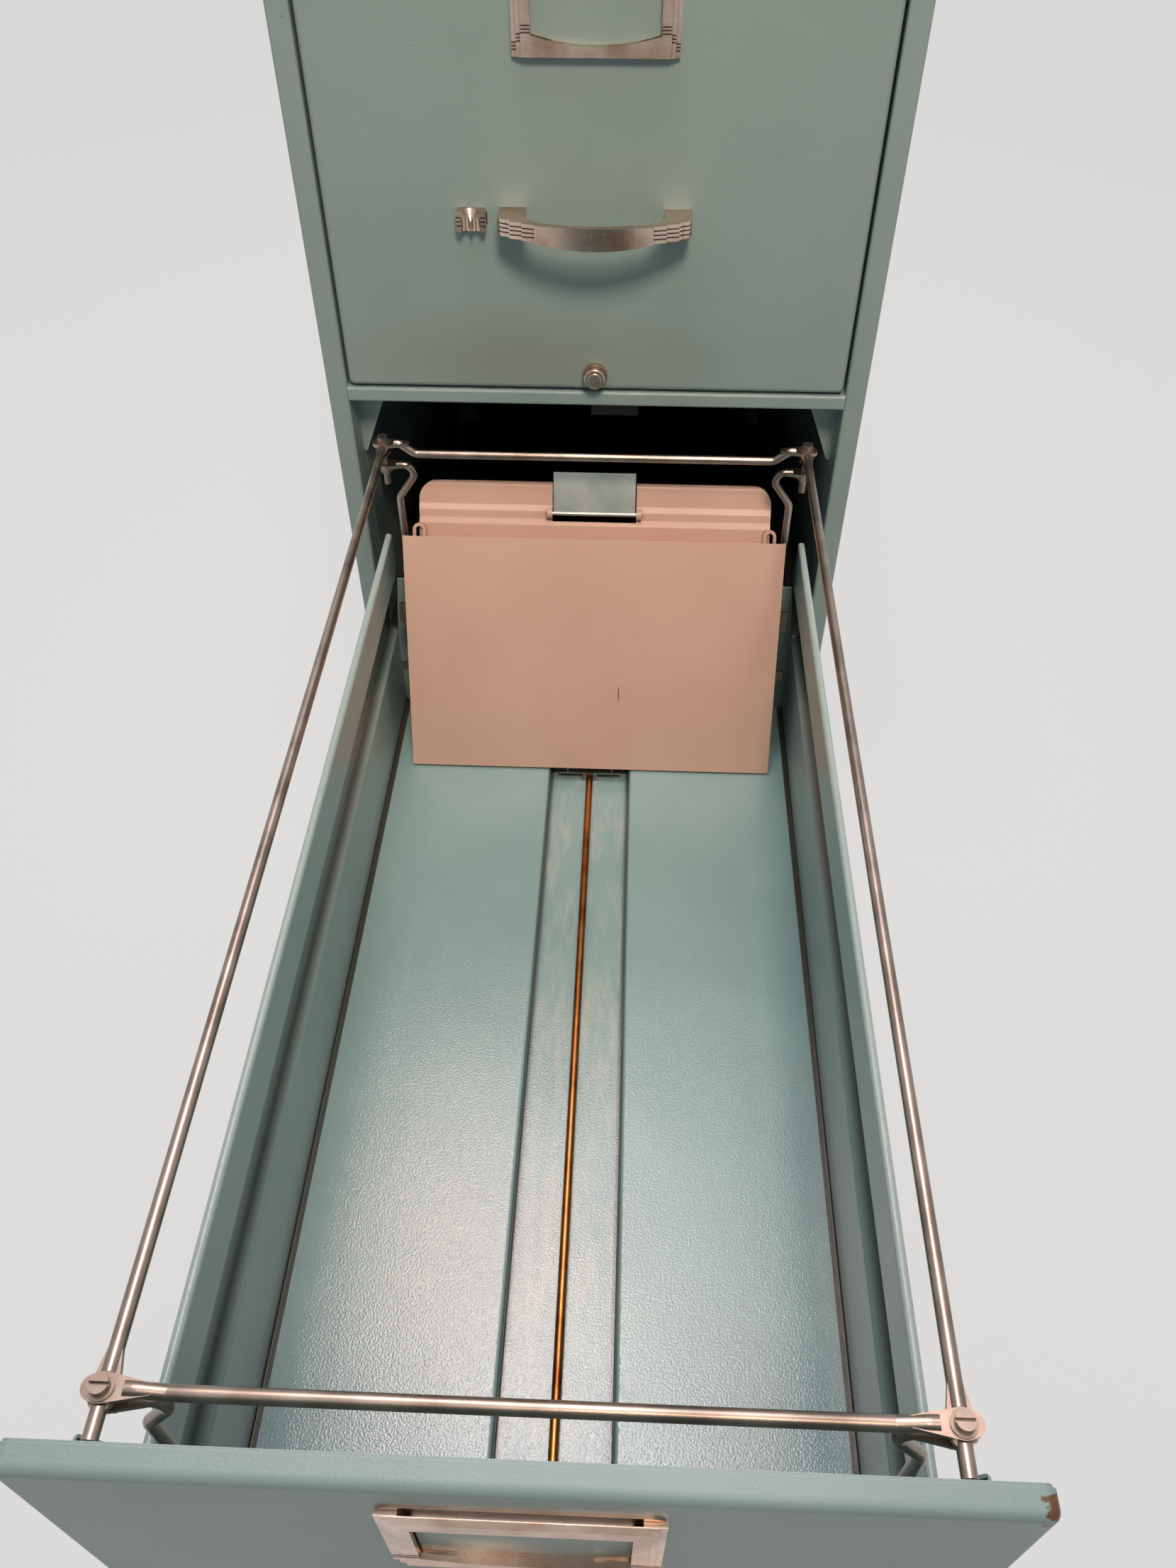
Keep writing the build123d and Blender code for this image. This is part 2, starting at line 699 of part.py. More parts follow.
def drawer_body(prefix, y, z):
    """Stiles, rolled-lip sides, troughed bottom, back and slide channels of one drawer."""
    with BuildPart() as stiles:
        stile_x = WALL_OUT - STILE_WIDTH / 2
        for side in (-1, 1):
            with BuildSketch(Plane.XY.offset(z + BOTTOM_TOP)):
                with Locations((side * stile_x, y + LINER_BACK + STILE_DEPTH / 2)):
                    RectangleRounded(STILE_WIDTH, STILE_DEPTH, BEND)
                    Rectangle(STILE_WIDTH - 2 * SHEET, STILE_DEPTH - 2 * SHEET, mode=Mode.SUBTRACT)
            extrude(amount=STILE_HEIGHT - BOTTOM_TOP)
            with BuildSketch(front_plane(y + LINER_BACK)):
                outline(
                    (side * (WALL_OUT - SHEET), z + STILE_HEIGHT),
                    (side * (WALL_OUT - STILE_WIDTH), z + STILE_HEIGHT),
                    (side * (WALL_OUT - STILE_WIDTH), z + STILE_HEIGHT - STILE_SLANT),
                )
            extrude(amount=-STILE_DEPTH, mode=Mode.SUBTRACT)
    save(stiles, f"{prefix}_front_stiles")

    roll_top = SIDE_TOP - SHEET
    roll_out = UPPER_OUT + LIP_WIDTH - 2 * SHEET
    flange_z = BOTTOM_TOP - 2 * SHEET
    section = [
        (WALL_OUT - SIDE_FLANGE, flange_z),
        (WALL_OUT, flange_z),
        (WALL_OUT, LEDGE_Z - GROOVE_DEPTH / 2),
        (GROOVE_OUT, LEDGE_Z + GROOVE_DEPTH / 2),
        (GROOVE_OUT, GROOVE_TOP),
        (UPPER_OUT, GROOVE_TOP + GROOVE_DEPTH),
        (UPPER_OUT, roll_top),
        (roll_out, roll_top),
        (roll_out, roll_top - LIP_DROP),
    ]
    bends = [BEND, BEND, BEND, BEND, BEND, LIP_BEND, LIP_BEND]
    for side, name in ((-1, "left_side"), (1, "right_side")):
        with BuildPart() as drawer_side:
            with BuildSketch(front_plane(y + BODY_Y)):
                placed = handed([(x, z + up) for x, up in section], side)
                bent_sheet(placed, bends if side > 0 else bends[::-1])
            extrude(amount=-(DRAWER_LENGTH - BODY_Y))
        save(drawer_side, f"{prefix}_drawer_{name}")

    under = z + BOTTOM_TOP - SHEET
    half = WALL_IN - BOTTOM_GAP
    trough = TROUGH_HALF + SHEET
    with BuildPart() as bottom:
        with BuildSketch(front_plane(y + LINER_BACK)):
            bent_sheet(
                [
                    (-half, under),
                    (-trough, under),
                    (-trough, under - TROUGH_DEPTH),
                    (trough, under - TROUGH_DEPTH),
                    (trough, under),
                    (half, under),
                ]
            )
        extrude(amount=-(BACK_FACE + SHEET - LINER_BACK))
    save(bottom, f"{prefix}_bottom")

    with BuildPart() as back:
        with BuildSketch(front_plane(y + BACK_FACE)):
            shoulder = LEDGE_Z - GROOVE_DEPTH
            tongue = TROUGH_HALF - BEND
            outline(
                (-tongue, z + TROUGH_FLOOR),
                (tongue, z + TROUGH_FLOOR),
                (tongue, z + BOTTOM_TOP),
                (WALL_IN, z + BOTTOM_TOP),
                (WALL_IN, z + shoulder),
                (UPPER_OUT - SHEET, z + BACK_HEIGHT),
                (-UPPER_OUT + SHEET, z + BACK_HEIGHT),
                (-WALL_IN, z + shoulder),
                (-WALL_IN, z + BOTTOM_TOP),
                (-tongue, z + BOTTOM_TOP),
            )
        extrude(amount=-SHEET)
    save(back, f"{prefix}_back")

    with BuildPart() as runners:
        channel_pair(
            WALL_OUT,
            DRAWER_RUNNER_TIP,
            DRAWER_RUNNER_HEIGHT,
            z + RUNNER_Z,
            y + BODY_Y,
            DRAWER_LENGTH - BODY_Y,
        )
    save(runners, f"{prefix}_drawer_runners")

    with BuildPart() as guide_rod:
        with BuildSketch(front_plane(y + LINER_BACK)):
            with Locations((0, z + ROD_Z)):
                Circle(ROD_RADIUS)
        extrude(amount=-(BACK_FACE - LINER_BACK))
    save(guide_rod, f"{prefix}_guide_rod")


def follower(prefix, y, z):
    """Follower block: a reclined front plate and a taller back plate on a carriage along the guide rod."""
    lean = radians(FOLLOWER_LEAN)
    foot = (0, y + FOLLOWER_Y, z + BOTTOM_TOP + FOLLOWER_LIFT)
    face = Plane(origin=foot, x_dir=(1, 0, 0), z_dir=(0, -cos(lean), sin(lean)))
    with BuildPart() as front_plate:
        with BuildSketch(face):
            Rectangle(FOLLOWER_WIDTH, FOLLOWER_SLANT, align=(Align.CENTER, Align.MIN))
        extrude(amount=-SHEET)
        with BuildSketch(face):
            with GridLocations(FOLLOWER_WIDTH - SHEET, 0, 2, 1):
                Rectangle(SHEET, FOLLOWER_SLANT, align=(Align.CENTER, Align.MIN))
        extrude(amount=-FOLLOWER_RETURN)
    save(front_plate, f"{prefix}_follower_front")

    rear = face.offset(-FOLLOWER_GAP)
    half = BACKPLATE_WIDTH / 2
    pivot_up = BACKPLATE_TOP + TAB_PROUD - TAB_HEIGHT
    with BuildPart() as back_plate:
        corner = rear.from_local_coords((half, 0, 0))
        crest = LEDGE_HIGH + LEDGE_RISE
        with BuildSketch(Plane(origin=corner, x_dir=rear.z_dir, z_dir=(-1, 0, 0))):
            bent_sheet(
                [
                    (0, BACKPLATE_LOW),
                    (0, LEDGE_LOW),
                    (-LEDGE_SET, LEDGE_LOW + LEDGE_RISE),
                    (-LEDGE_SET, LEDGE_HIGH),
                    (-2 * LEDGE_SET, crest),
                    (-2 * LEDGE_SET, BACKPLATE_TOP),
                    (-2 * LEDGE_SET - ROLL_WIDTH, BACKPLATE_TOP),
                    (-2 * LEDGE_SET - ROLL_WIDTH, BACKPLATE_TOP - ROLL_WIDTH),
                ],
                [BEND, BEND, BEND, BEND, ROLL_BEND, ROLL_BEND],
            )
        extrude(amount=BACKPLATE_WIDTH)
        depth = 2 * LEDGE_SET + ROLL_WIDTH + SHEET
        with BuildSketch(rear):
            with Locations((0, (BACKPLATE_LOW + BACKPLATE_TOP) / 2)):
                RectangleRounded(BACKPLATE_WIDTH, BACKPLATE_TOP - BACKPLATE_LOW, BACKPLATE_CORNER)
        extrude(amount=-depth, mode=Mode.INTERSECT)
        window_low = pivot_up - TAB_PIN - TAB_WINDOW
        with BuildSketch(rear):
            with Locations((0, window_low)):
                Rectangle(
                    TAB_WIDTH + 2 * TAB_CLEAR,
                    BACKPLATE_TOP - window_low,
                    align=(Align.CENTER, Align.MIN),
                )
        extrude(amount=-depth, mode=Mode.SUBTRACT)
        for side in (-1, 1):
            lug = rear.from_local_coords((side * (TAB_WIDTH / 2 + TAB_CLEAR), pivot_up, -SHEET / 2))
            with BuildSketch(Plane(origin=lug, x_dir=(0, 1, 0), z_dir=(side, 0, 0))):
                Circle(TAB_LUG)
            extrude(amount=TAB_LUG)
        bore = rear.from_local_coords((0, pivot_up, -SHEET / 2))
        with BuildSketch(Plane(origin=bore, x_dir=(0, 1, 0), z_dir=(1, 0, 0))):
            Circle(TAB_PIN + RUN_FIT)
        extrude(amount=TAB_WIDTH / 2 + TAB_CLEAR + TAB_LUG, both=True, mode=Mode.SUBTRACT)
        for side in (-1, 1):
            with BuildSketch(rear):
                with Locations((side * half, LEDGE_LOW - EAR_HEIGHT / 2)):
                    SlotOverall(EAR_HEIGHT, 2 * EAR_SPREAD, rotation=90)
                    SlotOverall(
                        EAR_HEIGHT - 2 * EAR_WIRE,
                        2 * EAR_SPREAD - 2 * EAR_WIRE,
                        rotation=90,
                        mode=Mode.SUBTRACT,
                    )
            extrude(amount=EAR_WIRE)
    save(back_plate, f"{prefix}_follower_back")

    with BuildPart() as release:
        tab_low = pivot_up
        with BuildSketch(rear.offset(-SHEET / 2 + TAB_SHEET / 2)):
            with Locations((0, tab_low)):
                Rectangle(TAB_WIDTH, TAB_HEIGHT - TAB_CURL, align=(Align.CENTER, Align.MIN))
        extrude(amount=-TAB_SHEET)
        curl_up = tab_low + TAB_HEIGHT - TAB_CURL
        curl = rear.from_local_coords((-TAB_WIDTH / 2, curl_up, -SHEET / 2 - TAB_CURL))
        curl_plane = Plane(origin=curl, x_dir=rear.z_dir, z_dir=(1, 0, 0))
        with BuildSketch(curl_plane):
            with BuildLine():
                outer = TAB_CURL + TAB_SHEET / 2
                inner = TAB_CURL - TAB_SHEET / 2
                CenterArc((0, 0), outer, 0, 90)
                CenterArc((0, 0), inner, 0, 90)
                Line((outer, 0), (inner, 0))
                Line((0, outer), (0, inner))
            make_face()
        extrude(amount=TAB_WIDTH)
        pin_end = rear.from_local_coords((-TAB_WIDTH / 2 - TAB_CLEAR - TAB_LUG, pivot_up, -SHEET / 2))
        with BuildSketch(Plane(origin=pin_end, x_dir=(0, 1, 0), z_dir=(1, 0, 0))):
            Circle(TAB_PIN)
        extrude(amount=TAB_WIDTH + 2 * (TAB_CLEAR + TAB_LUG))
    save(release, f"{prefix}_follower_release")

    with BuildPart() as carriage:
        deck = ROD_Z + ROD_RADIUS + SLIDE_CLEAR
        with BuildSketch(Plane.XY.offset(z + deck)):
            with Locations((0, y + FOLLOWER_Y)):
                Rectangle(2 * CARRIAGE_HALF, CARRIAGE_LENGTH, align=(Align.CENTER, Align.MIN))
        extrude(amount=SHEET)
        for along in (BUSH_LENGTH, CARRIAGE_LENGTH):
            with BuildSketch(front_plane(y + FOLLOWER_Y + along - BUSH_LENGTH)):
                with Locations((0, z + (TROUGH_FLOOR + SLIDE_CLEAR + deck) / 2)):
                    Rectangle(2 * BUSH_HALF, deck - TROUGH_FLOOR - SLIDE_CLEAR)
                with Locations((0, z + ROD_Z)):
                    Circle(ROD_RADIUS + RUN_FIT, mode=Mode.SUBTRACT)
            extrude(amount=-BUSH_LENGTH)
        with BuildSketch(face.offset(-SHEET)):
            with Locations((-WEB_X, -WEB_FOOT), (WEB_X, -WEB_FOOT)):
                Rectangle(SHEET, FOLLOWER_SLANT, align=(Align.CENTER, Align.MIN))
        extrude(amount=-(FOLLOWER_GAP - SHEET))
        brace_foot = rear.from_local_coords((0, 0, -SHEET))
        brace_top = rear.from_local_coords((0, BRACE_UP, -SHEET))
        for side in (-1, 1):
            with BuildSketch(Plane.YZ.offset(side * WEB_X - SHEET / 2)):
                outline(
                    (brace_foot.Y, brace_foot.Z),
                    (y + FOLLOWER_Y + CARRIAGE_LENGTH, brace_foot.Z),
                    (brace_top.Y, brace_top.Z),
                )
            extrude(amount=SHEET)
    save(carriage, f"{prefix}_follower_carriage")

    with BuildPart() as clips:
        for up, height in ((CLIP_UP, CLIP_HEIGHT), (TAB_CLIP_UP, TAB_CLIP_HEIGHT)):
            with BuildSketch(face.offset(-SHEET)):
                with GridLocations(FOLLOWER_WIDTH + CLIP_PROUD, 0, 2, 1):
                    with Locations((0, up)):
                        Rectangle(CLIP_PROUD, height)
            extrude(amount=-CLIP_DEPTH)
    save(clips, f"{prefix}_follower_clips")


def lock(y, z):
    """Plunger lock: a stepped barrel, the plunger that is pushed in, and the bolt that it drives down."""
    with BuildPart() as barrel:
        with BuildSketch(front_plane(y)):
            with Locations((0, z + LOCK_Z)):
                Circle(LOCK_RADIUS)
        extrude(amount=LOCK_REACH)
        with BuildSketch(front_plane(y - LOCK_REACH)):
            with Locations((0, z + LOCK_Z)):
                Circle(LOCK_STEP)
        extrude(amount=LOCK_REACH)
        with BuildSketch(front_plane(y)):
            with Locations((0, z + LOCK_Z)):
                Circle(LOCK_STEP)
        extrude(amount=-SHEET)
        with BuildSketch(front_plane(y - 2 * LOCK_REACH)):
            with Locations((0, z + LOCK_Z)):
                Circle(PLUNGER_RADIUS + RUN_FIT)
        extrude(amount=-(2 * LOCK_REACH + SHEET), mode=Mode.SUBTRACT)
        fillet(barrel.faces().sort_by(Axis.Y)[0].outer_wire().edges(), LOCK_ROUND)
    save(barrel, "lock_barrel")
    with BuildPart() as plunger:
        with BuildSketch(front_plane(y + SHEET)):
            with Locations((0, z + LOCK_Z)):
                Circle(PLUNGER_RADIUS)
        extrude(amount=SHEET + 2 * LOCK_REACH + PLUNGER_PROUD)
        fillet(plunger.faces().sort_by(Axis.Y)[0].edges(), PLUNGER_ROUND)
    save(plunger, "lock_plunger")
    with BuildPart() as bolt:
        with BuildSketch(front_plane(y + BOLT_Y)):
            with Locations((0, z + SHEET)):
                Rectangle(BOLT_WIDTH, BOLT_HEIGHT, align=(Align.CENTER, Align.MIN))
        extrude(amount=-BOLT_THICK)
    save(bolt, "lock_bolt")


def eye(x, y, z, inward):
    """Flattened end of a wire: a leaf that narrows along the inward direction; z is its underside."""
    tip_x = x + inward[0] * EYE_LEAF
    tip_y = y + inward[1] * EYE_LEAF
    with BuildSketch(Plane.XY.offset(z)) as leaf:
        with Locations((x, y)):
            Circle(EYE_RADIUS)
        with Locations((x - inward[0] * EYE_LOBE, y - inward[1] * EYE_LOBE)):
            Circle(EYE_RADIUS - EYE_LOBE / 3)
        with Locations((tip_x, tip_y)):
            Circle(EYE_TIP)
        make_hull(leaf.sketch.edges())
    extrude(leaf.sketch, amount=EYE_THICK)


def eye_hole(x, y, z, depth):
    """Screw hole down through flattened wire, from z."""
    with BuildSketch(Plane.XY.offset(z)) as disc:
        with Locations((x, y)):
            Circle(EYE_HOLE)
    extrude(disc.sketch, amount=-depth, mode=Mode.SUBTRACT)


def hanging_frame(y, z):
    """Wire frame for hanging folders: two long rods, two cross rods, four legs and their fasteners."""
    stations = (FRONT_EYE_Y, REAR_EYE_Y)
    pad_low = z + FRAME_Z - EYE_THICK / 2
    with BuildPart() as side_rods:
        for side in (-1, 1):
            with BuildSketch(front_plane(y + LINER_BACK + FRAME_STUB)):
                with Locations((side * FRAME_X, z + FRAME_Z)):
                    Circle(WIRE)
            extrude(amount=-(REAR_EYE_Y - LINER_BACK - FRAME_STUB))
            for station in stations:
                with BuildSketch(Plane.XY.offset(z + FRAME_Z - WIRE)):
                    with Locations((side * FRAME_X, y + station)):
                        Circle(EYE_RADIUS + EYE_CLEAR)
                extrude(amount=2 * WIRE, mode=Mode.SUBTRACT)
                eye(side * FRAME_X, y + station, pad_low, (0, 1 if station == FRONT_EYE_Y else -1))
                eye_hole(side * FRAME_X, y + station, pad_low + EYE_THICK, EYE_THICK)
    save(side_rods, "frame_side_rods")

    eye_low = pad_low + EYE_THICK
    for name, station, drop in (("front", FRONT_EYE_Y, FRONT_JOGGLE), ("rear", REAR_EYE_Y, REAR_JOGGLE)):
        with BuildPart() as cross_rod:
            level = eye_low + EYE_THICK / 2
            with BuildLine():
                FilletPolyline(
                    (-FRAME_X + EYE_RADIUS / 2, y + station, level),
                    (-FRAME_X + JOGGLE_OUT, y + station, level),
                    (-FRAME_X + JOGGLE_IN, y + station, level - drop),
                    (FRAME_X - JOGGLE_IN, y + station, level - drop),
                    (FRAME_X - JOGGLE_OUT, y + station, level),
                    (FRAME_X - EYE_RADIUS / 2, y + station, level),
                    radius=WIRE * 2,
                )
            start = (-FRAME_X + EYE_RADIUS / 2, y + station, level)
            with BuildSketch(Plane(origin=start, z_dir=(1, 0, 0))):
                Circle(WIRE)
            sweep()
            for side in (-1, 1):
                with BuildSketch(Plane.XY.offset(level - WIRE)):
                    with Locations((side * FRAME_X, y + station)):
                        Circle(EYE_RADIUS + EYE_LOBE)
                extrude(amount=2 * WIRE, mode=Mode.SUBTRACT)
                eye(side * FRAME_X, y + station, eye_low, (-side, 0))
                eye_hole(side * FRAME_X, y + station, eye_low + EYE_THICK, EYE_THICK)
        save(cross_rod, f"frame_{name}_rod")

    with BuildPart() as legs:
        for station, drop in ((FRONT_EYE_Y, NUT_HEIGHT), (REAR_EYE_Y, REAR_LEG_DROP)):
            leg_low = pad_low - EYE_THICK - drop
            level = leg_low + EYE_THICK / 2
            for side in (-1, 1):
                start = (side * (FRAME_X - EYE_RADIUS / 2), y + station, level)
                with BuildLine():
                    FilletPolyline(
                        start,
                        (side * (FRAME_X - LEG_INWARD), y + station, level),
                        (side * LEG_X, y + station, level - LEG_KNEE),
                        (side * LEG_X, y + station, z + BOTTOM_TOP),
                        radius=LEG_BEND,
                    )
                with BuildSketch(Plane(origin=start, z_dir=(-side, 0, 0))):
                    Circle(LEG_WIRE)
                sweep()
                with BuildSketch(Plane.XY.offset(level - WIRE)):
                    with Locations((side * FRAME_X, y + station)):
                        Circle(EYE_RADIUS + EYE_LOBE)
                extrude(amount=2 * WIRE, mode=Mode.SUBTRACT)
                eye(side * FRAME_X, y + station, leg_low, (-side, 0))
                eye_hole(side * FRAME_X, y + station, leg_low + EYE_THICK, EYE_THICK)
    save(legs, "frame_legs")

    with BuildPart() as fasteners:
        top = eye_low + EYE_THICK
        for station, length in ((FRONT_EYE_Y, FRONT_BOLT), (REAR_EYE_Y, REAR_BOLT)):
            for side in (-1, 1):
                spot = (side * FRAME_X, y + station)
                with BuildSketch(Plane.XY.offset(top)):
                    with Locations(spot):
                        Circle(WASHER_RADIUS)
                extrude(amount=WASHER_THICK)
                with BuildSketch(Plane.XY.offset(top + WASHER_THICK)):
                    with Locations(spot):
                        Circle(HEAD_RADIUS)
                extrude(amount=HEAD_HEIGHT)
                with BuildSketch(Plane.XY.offset(top + WASHER_THICK + HEAD_HEIGHT)):
                    with Locations(spot):
                        Rectangle(2 * HEAD_RADIUS, DRIVER_SLOT)
                extrude(amount=-HEAD_HEIGHT / 2, mode=Mode.SUBTRACT)
                with BuildSketch(Plane.XY.offset(top)):
                    with Locations(spot):
                        Circle(SCREW_RADIUS)
                extrude(amount=-length)
        for side in (-1, 1):
            for station, under in (
                (FRONT_EYE_Y, pad_low),
                (FRONT_EYE_Y, pad_low - EYE_THICK - NUT_HEIGHT),
                (REAR_EYE_Y, pad_low),
                (REAR_EYE_Y, pad_low - EYE_THICK - REAR_LEG_DROP),
            ):
                with BuildSketch(Plane.XY.offset(under)):
                    with Locations((side * FRAME_X, y + station)):
                        RegularPolygon(NUT_FLATS / 2, 6, major_radius=False)
                extrude(amount=-NUT_HEIGHT)
    save(fasteners, "frame_fasteners")


for prefix, z, extension in (("upper", UPPER_Z, 0.0), ("lower", LOWER_Z, TRAVEL)):
    y = FRONT_Y - extension
    suspension(prefix, z, extension)
    drawer_front(prefix, y, z, prefix == "upper")
    drawer_body(prefix, y, z)
    handle(f"{prefix}_handle", y, z)
    label_holder(f"{prefix}_label_holder", y, z)
    thumb_latch(f"{prefix}_thumb_latch", y, z)
    follower(prefix, y, z)

lock(FRONT_Y, UPPER_Z)
hanging_frame(FRONT_Y - TRAVEL, LOWER_Z)
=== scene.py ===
import math

import bpy
import numpy as np
from mathutils import Matrix, Vector


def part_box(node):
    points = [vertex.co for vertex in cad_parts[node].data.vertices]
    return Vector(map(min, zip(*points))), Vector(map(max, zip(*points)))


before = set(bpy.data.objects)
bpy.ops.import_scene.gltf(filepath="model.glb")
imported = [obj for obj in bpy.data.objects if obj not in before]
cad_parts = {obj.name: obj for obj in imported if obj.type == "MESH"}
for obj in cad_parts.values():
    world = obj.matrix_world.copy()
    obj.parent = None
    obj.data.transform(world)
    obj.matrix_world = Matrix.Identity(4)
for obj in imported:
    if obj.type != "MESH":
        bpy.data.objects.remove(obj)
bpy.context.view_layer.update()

MM = 0.001

# Case: sheet steel folded into sides, top, back, posts, rails and gussets and spot welded together,
# then sprayed and baked with one grey-green enamel. The spray leaves a fine orange peel that breaks up
# reflections, and the paint thins and goes pale along every fold.


def linear(code):
    """Linear colour of an sRGB hex code.

    A channel v becomes v / 12.92 up to 0.04045, and (v + 0.055) / 1.055 to the power of 2.4 above that.
    """
    channels = [int(code[i:i + 2], 16) / 255 for i in (1, 3, 5)]
    return [v / 12.92 if v <= 0.04045 else ((v + 0.055) / 1.055) ** 2.4 for v in channels] + [1.0]


def add(material, kind, values=None, links=None, **settings):
    """Adds one node: settings are its own options, values its plain inputs, links its joined inputs."""
    made = material.node_tree.nodes.new(kind)
    for option, setting in settings.items():
        setattr(made, option, setting)
    for socket, value in (values or {}).items():
        made.inputs[socket].default_value = value
    for socket, source in (links or {}).items():
        material.node_tree.links.new(source, made.inputs[socket])
    return made


def blank(name):
    """A new material with the Object coordinates that its patterns follow."""
    material = bpy.data.materials.new(name)
    material.use_nodes = True
    add(material, "ShaderNodeTexCoord")
    return material


def place_on(material):
    """The Object coordinates in a material."""
    return material.node_tree.nodes["Texture Coordinate"].outputs["Object"]


def surface(material):
    """The surface shader of a material."""
    return material.node_tree.nodes["Principled BSDF"]


def feed(material, socket, source):
    """Joins one output to an input of the surface shader."""
    material.node_tree.links.new(source, surface(material).inputs[socket])


def shades(ramp, *stops):
    """Sets the colours of a ramp from (position, hex code) stops."""
    while len(ramp.color_ramp.elements) < len(stops):
        ramp.color_ramp.elements.new(0.5)
    for element, (position, code) in zip(ramp.color_ramp.elements, stops):
        element.position = position
        element.color = linear(code)


def cover(material, code, mask):
    """Lays one colour over what the surface shows so far, as much as the mask says."""
    under = surface(material).inputs["Base Color"].links[0].from_socket
    over = add(material, "ShaderNodeMix", {"B": linear(code)}, {"Factor": mask, "A": under}, data_type="RGBA")
    feed(material, "Base Color", over.outputs["Result"])


def coat(material, *nodes):
    """Gives the named CAD nodes one finish."""
    for name in nodes:
        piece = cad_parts[name]
        piece.data.materials.clear()
        piece.data.materials.append(material)


PEEL = 1.2 * MM        # width of one orange-peel dimple, drawn coarse so that it shows
CLOUD = 90 * MM        # width of a cloud in the colour
SMEAR = 35 * MM        # width of a wiped smear in the gloss
EDGE = 1.0 * MM        # width of the pale line along a fold
SPECK = 42 * MM        # spacing of dust specks
NOOK = 9 * MM          # width of a gap or groove that holds dirt and is darkened as painted shade


def baked_enamel(name, paint, thin, worn, gloss, dimple=0.20 * MM):
    """Sprayed enamel on sheet steel.

    Its colour is clouded noise between paint and thin. It goes pale where the normal, rounded off over
    EDGE, parts from the true one, which is on a fold. Dirt and painted shade darken it where the sheet hides
    itself within NOOK, specks lie at the middle of random cells, smears change the gloss, and noise of PEEL
    width dents it.
    """
    material = blank(name)
    place = place_on(material)
    cloud = add(material, "ShaderNodeTexNoise", {"Scale": 1 / CLOUD, "Detail": 2.0}, {"Vector": place})
    colour = add(material, "ShaderNodeValToRGB", links={"Fac": cloud.outputs["Fac"]})
    shades(colour, (0.38, paint), (0.64, thin))
    feed(material, "Base Color", colour.outputs["Color"])
    smear = add(material, "ShaderNodeTexNoise", {"Scale": 1 / SMEAR, "Detail": 4.0}, {"Vector": place})
    flat = add(material, "ShaderNodeNewGeometry").outputs["Normal"]
    rounded = add(material, "ShaderNodeBevel", {"Radius": EDGE}, samples=6).outputs["Normal"]
    facing = add(material, "ShaderNodeVectorMath", links={0: flat, 1: rounded}, operation="DOT_PRODUCT")
    # the two normals part by 8 degrees where the pale line begins and by 31 where it is full
    fold = add(material, "ShaderNodeMapRange", {"From Min": 0.99, "From Max": 0.86, "To Max": 0.55},
               {"Value": facing.outputs["Value"]})
    uneven = add(material, "ShaderNodeMath", links={0: fold.outputs["Result"], 1: smear.outputs["Fac"]},
                 operation="MULTIPLY")
    cover(material, worn, uneven.outputs["Value"])
    # Dirt and painted shade: the sheet is darkened where it hides itself, in gaps, grooves and inner corners.
    nook = add(material, "ShaderNodeAmbientOcclusion", {"Distance": NOOK}, samples=6, only_local=True)
    dirt_and_shade = add(material, "ShaderNodeMapRange", {"From Min": 0.75, "From Max": 0.40, "To Max": 0.85},
               {"Value": nook.outputs["AO"]})
    cover(material, "#231D16", dirt_and_shade.outputs["Result"])
    cell = add(material, "ShaderNodeTexVoronoi", {"Scale": 1 / SPECK}, {"Vector": place})
    # distances are in cells of SPECK width, so a speck is 0.4 mm in radius and fades out at 0.7 mm
    speck = add(material, "ShaderNodeMapRange", {"From Min": 0.017, "From Max": 0.009, "To Max": 0.6},
                {"Value": cell.outputs["Distance"]})
    cover(material, "#4A463E", speck.outputs["Result"])
    sheen = add(material, "ShaderNodeMapRange", {"To Min": gloss - 0.03, "To Max": gloss + 0.05},
                {"Value": smear.outputs["Fac"]})
    feed(material, "Roughness", sheen.outputs["Result"])
    peel = add(material, "ShaderNodeTexNoise", {"Scale": 1 / PEEL, "Detail": 2.0}, {"Vector": place})
    dimples = add(material, "ShaderNodeBump", {"Strength": 0.8, "Distance": dimple},
                  {"Height": peel.outputs["Fac"]})
    feed(material, "Normal", dimples.outputs["Normal"])
    return material


# The pale colour marks worn folds, and on the drawer sides' rims it is a painted highlight.
PAINT, THIN, WORN_AND_HIGHLIGHT = "#90A6A5", "#95ABAA", "#C2D0CE"
case_enamel = baked_enamel("baked_grey_green_enamel", PAINT, THIN, WORN_AND_HIGHLIGHT, gloss=0.36)
coat(case_enamel, "left_side", "right_side", "top_panel", "back_panel", "kick_plate", "bottom_rail",
     "cross_rail", "top_rail", "front_uprights", "rear_uprights", "corner_gussets")

# Base pan and lock keeper: plain steel pressings that are hardly seen in use,
# dipped in a flat black that dries with a faint grain. The black is also painted shade
# for the dark inside of the case.
DIP_GRAIN = 2.5 * MM
black_dip_and_shade = blank("flat_black_shade_dip")
surface(black_dip_and_shade).inputs["Roughness"].default_value = 0.62
dip_grain = add(black_dip_and_shade, "ShaderNodeTexNoise", {"Scale": 1 / DIP_GRAIN, "Detail": 4.0},
                {"Vector": place_on(black_dip_and_shade)})
dip_and_shade_colour = add(black_dip_and_shade, "ShaderNodeValToRGB", links={"Fac": dip_grain.outputs["Fac"]})
# Painted shade: the near-black colour also darkens the inside of the case where shade falls.
shades(dip_and_shade_colour, (0.3, "#161616"), (0.8, "#2A2927"))
feed(black_dip_and_shade, "Base Color", dip_and_shade_colour.outputs["Color"])
coat(black_dip_and_shade, "base_pan", "lock_keeper")

# Suspension: roll-formed channels of cold-rolled steel, left bare and lightly oiled,
# so they show fine lengthwise draw lines and a dull grey sheen.
DRAWERS = ("upper", "lower")
TARNISH = 22 * MM           # width of a patch of tarnish
LINE_DEPTH = 0.03 * MM      # depth of a draw line


